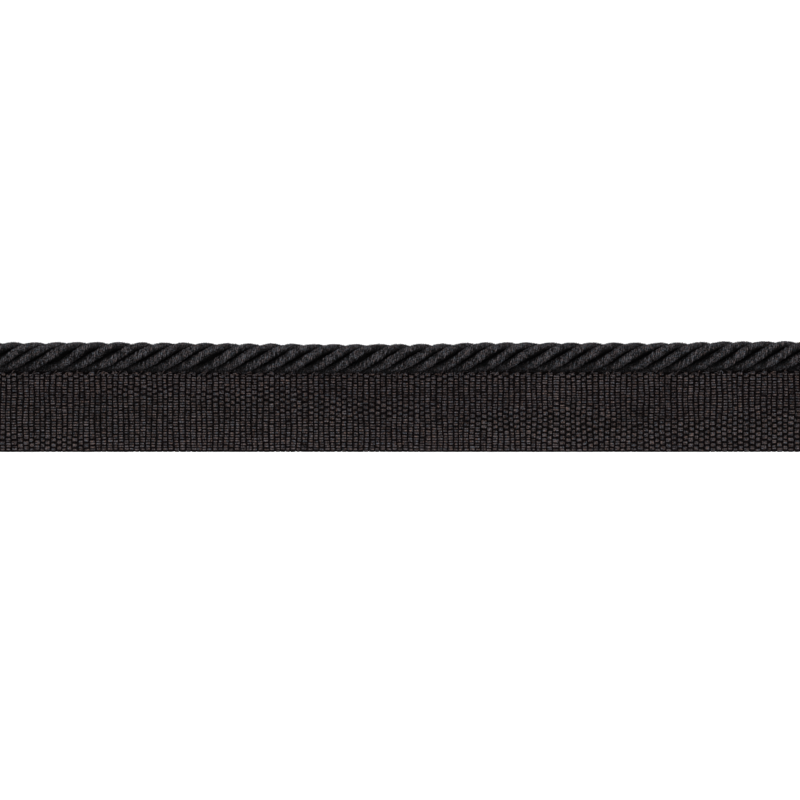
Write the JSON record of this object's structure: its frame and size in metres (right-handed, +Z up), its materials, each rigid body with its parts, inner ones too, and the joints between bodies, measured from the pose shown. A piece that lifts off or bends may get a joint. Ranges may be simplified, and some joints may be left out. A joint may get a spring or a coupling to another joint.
{
  "type": "flanged twisted cord trim",
  "caption": "Flat cut length of black cord trim: a round, left-hand twisted cord with a woven sewing tape along one side.",
  "frame": {"origin": "middle of the trim's box, on the surface that it lies on", "axes": "+X along the trim, +Y across it from the tape to the cord, +Z up from the surface"},
  "size_m": [0.15, 0.0176, 0.0047],
  "materials": {
    "cord_yarn": "matt black spun yarn, slightly fuzzy",
    "tape_yarn": "matt warm-black yarn in a ribbed weave"
  },
  "bodies": {
    "root": {"twisted_cord": "cord_yarn", "woven_tape": "tape_yarn"}
  },
  "joints": []
}
